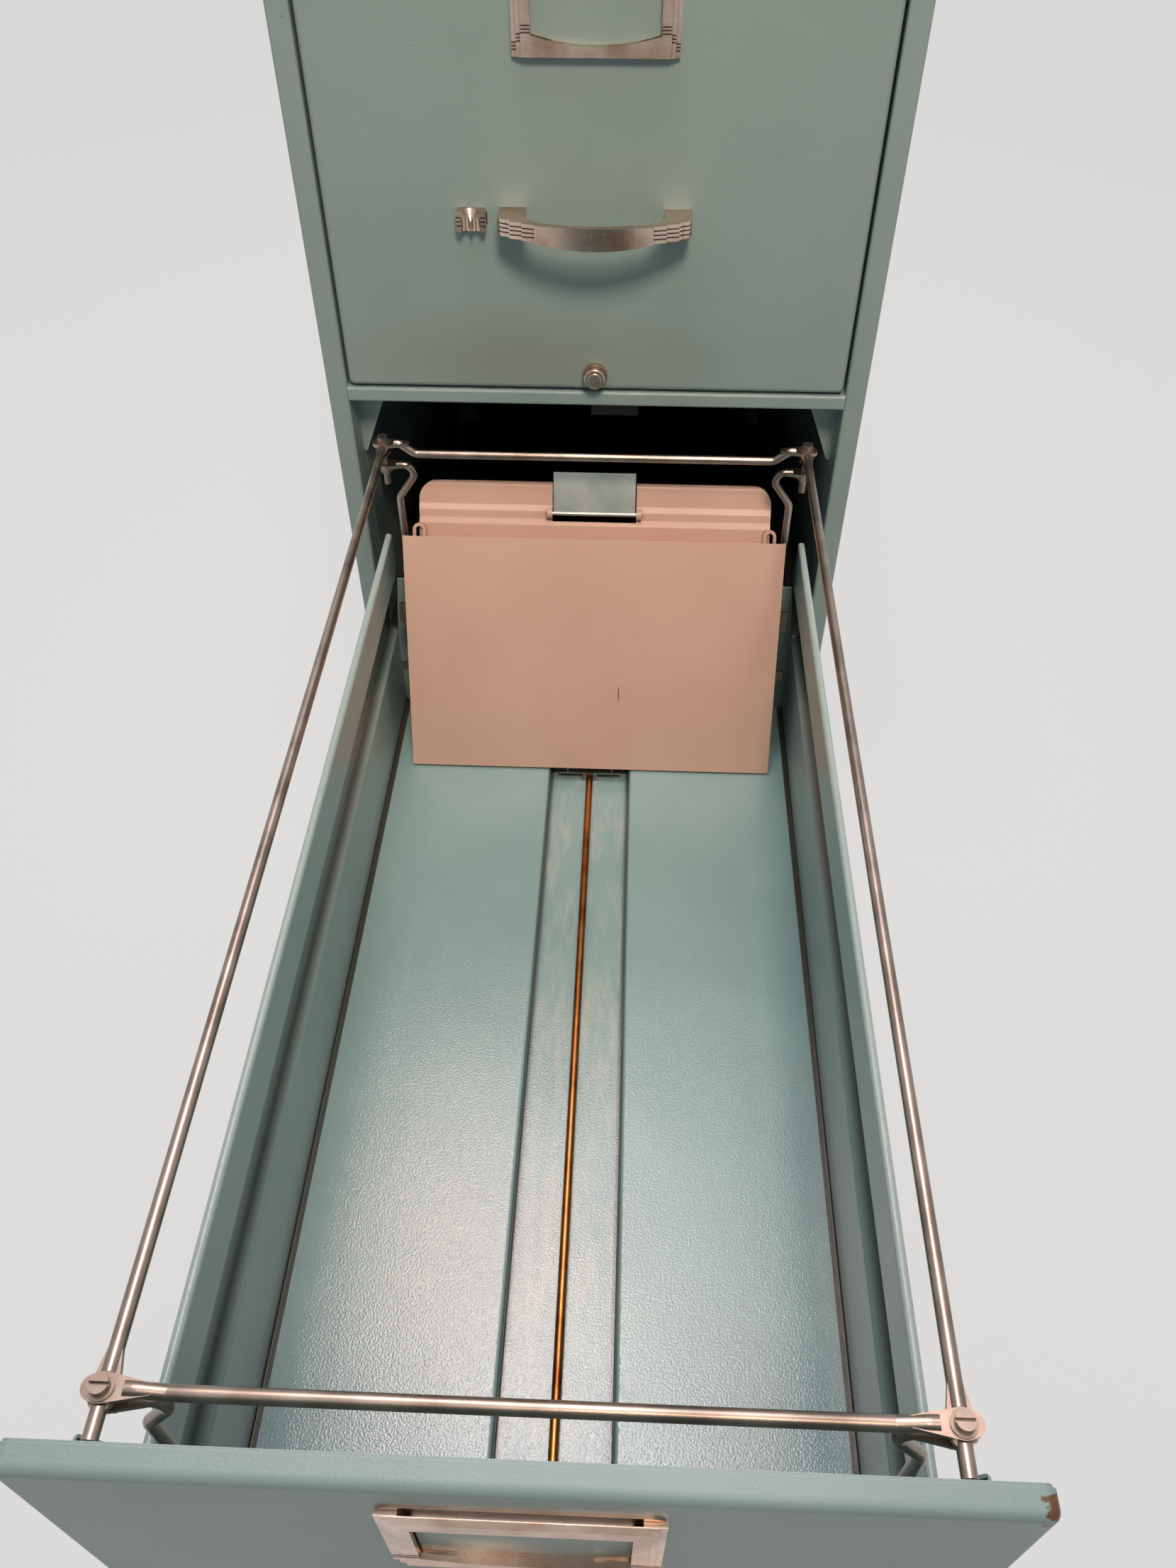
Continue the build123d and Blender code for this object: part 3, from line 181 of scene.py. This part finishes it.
def drawn_metal(name, dark, light, line, across, rough):
    """Bare or plated metal.

    Its colour is broad noise between dark and light, the tarnish. Noise of line width, stretched along
    the axis whose share in across is small, dulls it and scores it with fine lines.
    """
    material = blank(name)
    place = place_on(material)
    lines = add(material, "ShaderNodeMapping", {"Scale": across}, {"Vector": place})
    score = add(material, "ShaderNodeTexNoise", {"Scale": 1 / line, "Detail": 2.0},
                {"Vector": lines.outputs["Vector"]})
    tarnish = add(material, "ShaderNodeTexNoise", {"Scale": 1 / TARNISH, "Detail": 4.0}, {"Vector": place})
    colour = add(material, "ShaderNodeValToRGB", links={"Fac": tarnish.outputs["Fac"]})
    shades(colour, (0.32, dark), (0.60, light))
    feed(material, "Base Color", colour.outputs["Color"])
    surface(material).inputs["Metallic"].default_value = 1.0
    dull = add(material, "ShaderNodeMapRange", {"To Min": rough + 0.07, "To Max": rough - 0.05},
               {"Value": score.outputs["Fac"]})
    feed(material, "Roughness", dull.outputs["Result"])
    scored = add(material, "ShaderNodeBump", {"Strength": 0.18, "Distance": LINE_DEPTH},
                 {"Height": score.outputs["Fac"]})
    feed(material, "Normal", scored.outputs["Normal"])
    return material


channel_steel = drawn_metal("oiled_cold_rolled_steel", "#868580", "#989691",
                            line=0.7 * MM, across=(1, 0.03, 1), rough=0.42)
for drawer in DRAWERS:
    coat(channel_steel, f"{drawer}_case_runners", f"{drawer}_slide_bars", f"{drawer}_drawer_runners",
         f"{drawer}_follower_carriage")

# Drawer bodies: sides, back and stiles folded from the same sheet as the case and sprayed with it.
# Oily dust, deepened by painted shade, lies in the long groove of each side and in the crack at its foot,
# and the bottom has a sunk trough down its middle, scuffed pale by years of sliding, with dust and painted
# shade along its edges. A painted highlight runs along the rim of each side.
drawer_enamel = baked_enamel("baked_drawer_enamel", PAINT, THIN, WORN_AND_HIGHLIGHT, gloss=0.30)
DUST_AND_SHADE_SPAN = 200     # mm of a side's height, from its foot, that the dust and painted shade cover
DUST_AND_SHADE = ((0, "#F4F4F4"), (3, "#F4F4F4"), (9, "#000000"), (77, "#000000"), (81, "#D8D8D8"), (88, "#F0F0F0"),
        (100, "#C4C4C4"), (112, "#606060"), (136, "#000000"))     # mm above the foot, white for full dust and painted shade


def side_enamel(drawer):
    """Enamel of a drawer's sides.

    A ramp over the height gives the dust and painted shade, which lie only where a face looks to the
    drawer's middle, so that x times the normal's x is below 0, or upwards. The last 4 mm below the rim are
    painted pale, a painted highlight along the lip.
    """
    material = baked_enamel(f"baked_{drawer}_side_enamel", PAINT, THIN, WORN_AND_HIGHLIGHT, gloss=0.24)
    foot, rim = (corner[2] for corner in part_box(f"{drawer}_drawer_left_side"))
    spot = add(material, "ShaderNodeSeparateXYZ", links={"Vector": place_on(material)})
    up = add(material, "ShaderNodeMapRange", {"From Min": foot, "From Max": foot + DUST_AND_SHADE_SPAN * MM},
             {"Value": spot.outputs["Z"]})
    dust_and_shade = add(material, "ShaderNodeValToRGB", links={"Fac": up.outputs["Result"]})
    shades(dust_and_shade, *[(height / DUST_AND_SHADE_SPAN, share) for height, share in DUST_AND_SHADE])
    facing = add(material, "ShaderNodeSeparateXYZ", links={
        "Vector": material.node_tree.nodes["Geometry"].outputs["Normal"]})
    turned = add(material, "ShaderNodeMath", links={0: spot.outputs["X"], 1: facing.outputs["X"]},
                 operation="MULTIPLY")
    inward = add(material, "ShaderNodeMapRange", {"From Min": 0.0, "From Max": -0.03},
                 {"Value": turned.outputs["Value"]})
    level = add(material, "ShaderNodeMapRange", {"From Min": 0.6, "From Max": 0.9},
                {"Value": facing.outputs["Z"]})
    held = add(material, "ShaderNodeMath", links={0: inward.outputs["Result"], 1: level.outputs["Result"]},
               operation="MAXIMUM")
    settled_dust_and_shade = add(material, "ShaderNodeMath", links={0: dust_and_shade.outputs["Color"], 1: held.outputs["Value"]},
                  operation="MULTIPLY")
    # Dust and painted shade: the groove and the crack at the foot are darkened to olive brown on inward
    # faces.
    cover(material, "#35301F", settled_dust_and_shade.outputs["Value"])
    # Painted highlight: the last 4 mm below the rim are laid over in the pale colour.
    rim_highlight = add(material, "ShaderNodeMapRange",
                 {"From Min": rim - 4 * MM, "From Max": rim - 1 * MM, "To Max": 0.6},
                 {"Value": spot.outputs["Z"]})
    cover(material, WORN_AND_HIGHLIGHT, rim_highlight.outputs["Result"])
    return material


TROUGH_EDGE, TROUGH_FLAT = 31 * MM, 29 * MM     # half widths between which the trough's wear begins
SCUFF = 9 * MM                                  # width of a scuff, four to five times as long
SEAM_NEAR, SEAM_FAR = 20 * MM, 40 * MM          # half widths between which dust and painted shade lie along the trough's edge
bottom_enamel = baked_enamel("baked_bottom_enamel", "#8AA6A6", "#90ACAB", WORN_AND_HIGHLIGHT, gloss=0.17, dimple=0.24 * MM)
surface(bottom_enamel).inputs["Specular IOR Level"].default_value = 0.7
bottom_spot = add(bottom_enamel, "ShaderNodeSeparateXYZ", links={"Vector": place_on(bottom_enamel)})
from_middle = add(bottom_enamel, "ShaderNodeMath", links={0: bottom_spot.outputs["X"]}, operation="ABSOLUTE")
trough = add(bottom_enamel, "ShaderNodeMapRange", {"From Min": TROUGH_EDGE, "From Max": TROUGH_FLAT},
             {"Value": from_middle.outputs["Value"]})
drag = add(bottom_enamel, "ShaderNodeMapping", {"Scale": (1, 0.22, 1)}, {"Vector": place_on(bottom_enamel)})
scuff = add(bottom_enamel, "ShaderNodeTexNoise", {"Scale": 1 / SCUFF, "Detail": 7.0, "Roughness": 0.62},
            {"Vector": drag.outputs["Vector"]})
scuffed = add(bottom_enamel, "ShaderNodeMapRange", {"From Min": 0.46, "From Max": 0.68, "To Max": 0.34},
              {"Value": scuff.outputs["Fac"]})
slid = add(bottom_enamel, "ShaderNodeMath", links={0: trough.outputs["Result"], 1: scuffed.outputs["Result"]},
           operation="MULTIPLY")
cover(bottom_enamel, "#D9CFC0", slid.outputs["Value"])
# Dust and painted shade: a dark band is laid along each edge of the trough's step.
seam = add(bottom_enamel, "ShaderNodeMapRange", {"From Min": SEAM_NEAR, "From Max": SEAM_FAR},
           {"Value": from_middle.outputs["Value"]})
seam_dust_and_shade = add(bottom_enamel, "ShaderNodeValToRGB", links={"Fac": seam.outputs["Result"]})
shades(seam_dust_and_shade, (0.44, "#000000"), (0.54, "#C8C8C8"), (0.63, "#D8D8D8"), (0.68, "#000000"))
cover(bottom_enamel, "#2E3029", seam_dust_and_shade.outputs["Color"])
for drawer in DRAWERS:
    coat(drawer_enamel, f"{drawer}_front_stiles", f"{drawer}_back")
    coat(side_enamel(drawer), f"{drawer}_drawer_left_side", f"{drawer}_drawer_right_side")
    coat(bottom_enamel, f"{drawer}_bottom")

# Drawer fronts: pressed pans with soft edges, closed by a flat liner. The open one is chipped
# to rusty steel at its upper right corner, and hands have left a brownish bloom round the lock.


def patch(material, centre, radii):
    """A soft spot: 1 at the centre of an ellipsoid, falling evenly to 0 at its surface; metres."""
    unit = add(material, "ShaderNodeMapping",
               {"Location": [-c / r for c, r in zip(centre, radii)], "Scale": [1 / r for r in radii]},
               {"Vector": place_on(material)})
    return add(material, "ShaderNodeTexGradient", links={"Vector": unit.outputs["Vector"]},
               gradient_type="SPHERICAL").outputs["Fac"]


BLOOM_SHIFT = 40 * MM                           # the bloom lies this far to the left of the lock
BLOOM_RADII = [150 * MM, 60 * MM, 45 * MM]
CHIP_RADII = [10 * MM, 8 * MM, 10 * MM]
FLAKE = 5 * MM                                  # width of a flake at the chip's ragged edge
upper_enamel = baked_enamel("baked_upper_front_enamel", PAINT, THIN, WORN_AND_HIGHLIGHT, gloss=0.40)
lock_low, lock_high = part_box("lock_barrel")
bloom = patch(upper_enamel, (lock_low[0] - BLOOM_SHIFT, lock_low[1], lock_high[2]), BLOOM_RADII)
faint_bloom = add(upper_enamel, "ShaderNodeMath", {1: 0.45}, {0: bloom}, operation="MULTIPLY")
cover(upper_enamel, "#7F7460", faint_bloom.outputs["Value"])
lower_enamel = baked_enamel("baked_lower_front_enamel", PAINT, THIN, WORN_AND_HIGHLIGHT, gloss=0.42)
front_low, front_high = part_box("lower_front")
corner = [front_high[0] - 2 * MM, front_low[1] + 4 * MM, front_high[2] - 4 * MM]
flaking = add(lower_enamel, "ShaderNodeTexNoise", {"Scale": 1 / FLAKE, "Detail": 5.0},
              {"Vector": place_on(lower_enamel)})
ragged = add(lower_enamel, "ShaderNodeMath", operation="ADD",
             links={0: patch(lower_enamel, corner, CHIP_RADII), 1: flaking.outputs["Fac"]})
chip = add(lower_enamel, "ShaderNodeMapRange", {"From Min": 0.93, "From Max": 0.99},
           {"Value": ragged.outputs["Value"]})
cover(lower_enamel, "#6E4733", chip.outputs["Result"])
coat(upper_enamel, "upper_front", "upper_front_liner")
coat(lower_enamel, "lower_front", "lower_front_liner")

# Guide rods: round steel drawn to size and given a copper flash, laid along the trough from front to back.
# They have browned with age, and the follower has rubbed them bright.
copper_flash = drawn_metal("copper_flashed_rod", "#7C4422", "#B87440",
                           line=0.8 * MM, across=(1, 0.02, 1), rough=0.30)
for drawer in DRAWERS:
    coat(copper_flash, f"{drawer}_guide_rod")

# Pulls, label holders, latches and lock: zinc castings plated with nickel and bronzed, then rubbed back,
# so the raised faces are bright and brushed and the grooves stay nearly black.
GROOVE = 1.6 * MM       # width of a groove that keeps its dark bronzing
bronzed = drawn_metal("bronzed_nickel_plate", "#B4937F", "#DAC3B3",
                      line=0.35 * MM, across=(0.03, 1, 1), rough=0.25)
recess = add(bronzed, "ShaderNodeAmbientOcclusion", {"Distance": GROOVE}, samples=8, only_local=True)
groove = add(bronzed, "ShaderNodeMapRange", {"From Min": 0.80, "From Max": 0.42, "To Max": 0.92},
             {"Value": recess.outputs["AO"]})
cover(bronzed, "#2B211B", groove.outputs["Result"])
for drawer in DRAWERS:
    coat(bronzed, f"{drawer}_handle", f"{drawer}_label_holder", f"{drawer}_thumb_latch")
coat(bronzed, "lock_barrel", "lock_plunger", "lock_bolt")

# Followers: two reclined plates pressed from sheet and enamelled in a pinkish tan, with browned clips.
# The release tab is bare spring steel. The lower front plate has one old upright scratch.
TAN, TAN_THIN, TAN_WORN = "#D8B09F", "#DDB6A5", "#EAD2C6"
SCRATCH_RIGHT, SCRATCH_UP = 22 * MM, 62 * MM            # from the plate's middle, and from its foot
SCRATCH_RADII = [0.55 * MM, 60 * MM, 7 * MM]
follower_enamel = baked_enamel("baked_tan_enamel", TAN, TAN_THIN, TAN_WORN, gloss=0.40)
scratched_enamel = baked_enamel("baked_tan_enamel_scratched", TAN, TAN_THIN, TAN_WORN, gloss=0.40)
plate_low, plate_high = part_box("lower_follower_front")
scratch_at = [SCRATCH_RIGHT, (plate_low[1] + plate_high[1]) / 2, plate_low[2] + SCRATCH_UP]
scratch = add(scratched_enamel, "ShaderNodeMapRange", {"From Min": 0.0, "From Max": 0.25, "To Max": 0.85},
              {"Value": patch(scratched_enamel, scratch_at, SCRATCH_RADII)})
cover(scratched_enamel, "#3A2D26", scratch.outputs["Result"])
spring_steel = drawn_metal("bright_spring_steel", "#C2C8C1", "#D8DDD6",
                           line=0.4 * MM, across=(0.04, 1, 1), rough=0.44)
clip_steel = drawn_metal("browned_strap_steel", "#7A6A5E", "#AD9C8F",
                         line=0.6 * MM, across=(1, 1, 0.1), rough=0.36)
coat(follower_enamel, "upper_follower_front", "upper_follower_back", "lower_follower_back")
coat(scratched_enamel, "lower_follower_front")
for drawer in DRAWERS:
    coat(clip_steel, f"{drawer}_follower_clips")
    coat(spring_steel, f"{drawer}_follower_release")

# Hanging-folder frame: steel wire, its ends flattened and drilled, held by slotted screws and nuts.
# It is zinc plated, and the plating has dulled to a warm grey that still shines along the wire.
zinc_wire = drawn_metal("zinc_plated_wire", "#82746B", "#A6978C",
                        line=0.8 * MM, across=(1, 0.05, 1), rough=0.32)
zinc_screws = drawn_metal("zinc_plated_screws", "#766A61", "#988C82",
                          line=0.5 * MM, across=(1, 1, 0.2), rough=0.42)
coat(zinc_wire, "frame_side_rods", "frame_front_rod", "frame_rear_rod", "frame_legs")
coat(zinc_screws, "frame_fasteners")

# Floor: a plain pale studio floor, larger than any view and a hair below the case's foot. It shows
# partly as its own white to the camera and in reflections, and otherwise takes light and shadow.
FLOOR_HALF = 6.0
FLOOR_DROP = 0.2 * MM
OWN_WHITE = 0.62


def sheet_mesh(name, points):
    """A mesh from a grid of points (rows, columns, 3): each four neighbours make one face."""
    rows, columns = points.shape[:2]
    corner = np.arange(rows * columns).reshape(rows, columns)
    faces = np.stack([corner[:-1, :-1], corner[:-1, 1:], corner[1:, 1:], corner[1:, :-1]], axis=-1)
    mesh = bpy.data.meshes.new(name)
    mesh.from_pydata(points.reshape(-1, 3).tolist(), [], faces.reshape(-1, 4).tolist())
    piece = bpy.data.objects.new(name, mesh)
    bpy.context.scene.collection.objects.link(piece)
    return piece


reach = np.linspace(-FLOOR_HALF, FLOOR_HALF, 3)
across, along = np.meshgrid(reach, reach)
floor = sheet_mesh("floor", np.stack([across, along, np.full_like(across, -FLOOR_DROP)], axis=-1))
floor_paint = blank("pale_studio_floor")
surface(floor_paint).inputs["Base Color"].default_value = linear("#ABA9A6")
surface(floor_paint).inputs["Roughness"].default_value = 0.85
white = add(floor_paint, "ShaderNodeEmission", {"Color": linear("#FCFCFC")})
sight = add(floor_paint, "ShaderNodeLightPath")
mirrored = add(floor_paint, "ShaderNodeMath", operation="MAXIMUM", links={
    0: sight.outputs["Is Glossy Ray"], 1: sight.outputs["Is Transmission Ray"]})
shown = add(floor_paint, "ShaderNodeMath", operation="MAXIMUM", links={
    0: sight.outputs["Is Camera Ray"], 1: mirrored.outputs["Value"]})
half_seen = add(floor_paint, "ShaderNodeMath", {1: OWN_WHITE}, {0: shown.outputs["Value"]},
                operation="MULTIPLY")
backdrop = add(floor_paint, "ShaderNodeMixShader", links={
    0: half_seen.outputs["Value"], 1: surface(floor_paint).outputs["BSDF"], 2: white.outputs["Emission"]})
floor_paint.node_tree.links.new(backdrop.outputs["Shader"],
                                floor_paint.node_tree.nodes["Material Output"].inputs["Surface"])
floor.data.materials.append(floor_paint)

# Light: a soft sky that is brightest overhead and behind the case, a key lamp above the camera's right
# shoulder, a soft fill over the open drawer, and ceiling lamps further back that show only as reflections.
BRIGHT_WAY = (0, 0.5, 0.87)                     # towards the brightest sky
SKY_DARKEST, SKY_BRIGHTEST = 0.04, 1.0
SKY_LIGHT, SKY_MIRRORED, SKY_SEEN = 0.52, 0.92, 0.97    # strength as light, in reflections, and in view
sky = bpy.data.worlds.new("soft_sky")
bpy.context.scene.world = sky
sky.use_nodes = True
sky_shader = sky.node_tree.nodes["Background"]
sky_shader.inputs["Color"].default_value = linear("#F5F6F8")
bright_side = add(sky, "ShaderNodeVectorMath", {1: BRIGHT_WAY}, {
    0: add(sky, "ShaderNodeTexCoord").outputs["Generated"]}, operation="DOT_PRODUCT")
fall = add(sky, "ShaderNodeMapRange",
           {"From Min": -1.0, "From Max": 1.0, "To Min": SKY_DARKEST, "To Max": SKY_BRIGHTEST},
           {"Value": bright_side.outputs["Value"]})
seen = add(sky, "ShaderNodeLightPath")
glow = add(sky, "ShaderNodeMapRange", {"To Min": SKY_LIGHT, "To Max": SKY_MIRRORED},
           {"Value": seen.outputs["Is Glossy Ray"]})
glass = add(sky, "ShaderNodeMath", operation="MAXIMUM", links={
    0: seen.outputs["Is Camera Ray"], 1: seen.outputs["Is Transmission Ray"]})
dimmed = add(sky, "ShaderNodeMath", operation="MULTIPLY", links={
    0: fall.outputs["Result"], 1: glow.outputs["Result"]})
strength = add(sky, "ShaderNodeMix", {"B": SKY_SEEN}, {
    "Factor": glass.outputs["Value"], "A": dimmed.outputs["Value"]})
sky.node_tree.links.new(strength.outputs["Result"], sky_shader.inputs["Strength"])


def lamp(name, place, target, size, watts, code):
    """A ceiling lamp at place, aimed at target: size is its width and length in metres."""
    light = bpy.data.lights.new(name, "AREA")
    light.shape = "RECTANGLE"
    light.size, light.size_y = size
    light.energy = watts
    light.color = linear(code)[:3]
    holder = bpy.data.objects.new(name, light)
    aim = Vector(target) - Vector(place)
    holder.matrix_world = Matrix.Translation(place) @ aim.to_track_quat("-Z", "Y").to_matrix().to_4x4()
    bpy.context.scene.collection.objects.link(holder)
    return holder


key = lamp("lamp_key", place=(0.25, -1.30, 2.2), target=(0.0, 0.05, 0.62),
           size=(0.45, 0.45), watts=3.3, code="#FFE4C8")
key.data.spread = math.radians(55)
lamp("lamp_fill", place=(-0.08, -0.10, 2.4), target=(0.0, -0.1, 0.1),
     size=(0.60, 0.60), watts=16.5, code="#FBFAFA")
glare_left = lamp("lamp_back_left", place=(-0.32, 0.42, 2.4), target=(-0.05, -0.4, 0.1),
                  size=(0.35, 0.55), watts=10.5, code="#FFC2B2")
glare_right = lamp("lamp_back_right", place=(0.54, 0.10, 2.4), target=(0.05, -0.4, 0.1),
                   size=(0.05, 0.60), watts=4.5, code="#FFC8BA")
glare_wide = lamp("lamp_back_wide", place=(0.0, 0.80, 2.4), target=(0.0, -0.4, 0.1),
                  size=(1.1, 0.60), watts=9, code="#F0F7FF")
for glare in (glare_left, glare_right, glare_wide):
    glare.visible_diffuse = False

# Camera: the photograph's own stand point, above the open drawer and looking down into it,
# fitted to the posts, rail, drawer lips, rods and follower.
YAW, PITCH, ROLL = math.radians(-2.319), math.radians(46.126), math.radians(0.069)
STAND = (0.0270, -0.7950, 0.8199)
FOCAL_PIXELS, FRAME_PIXELS = 1716, 2212         # focal length and longer side, in the photograph's pixels
SENSOR = 36                                     # mm along the longer side
right = Vector((math.cos(YAW), -math.sin(YAW), 0))
forward = Vector((math.sin(YAW) * math.cos(PITCH), math.cos(YAW) * math.cos(PITCH), -math.sin(PITCH)))
down = forward.cross(right)
turned_right = math.cos(ROLL) * right + math.sin(ROLL) * down
turned_down = math.cos(ROLL) * down - math.sin(ROLL) * right
view = bpy.data.cameras.new("photo_view")
view.sensor_width = SENSOR
view.lens = FOCAL_PIXELS / FRAME_PIXELS * SENSOR
view.clip_start = 10 * MM
camera = bpy.data.objects.new("photo_view", view)
bpy.context.scene.collection.objects.link(camera)
axes = Matrix((turned_right, -turned_down, -forward)).transposed().to_4x4()
camera.matrix_world = Matrix.Translation(STAND) @ axes
bpy.context.scene.camera = camera
bpy.context.scene.view_settings.view_transform = "Standard"
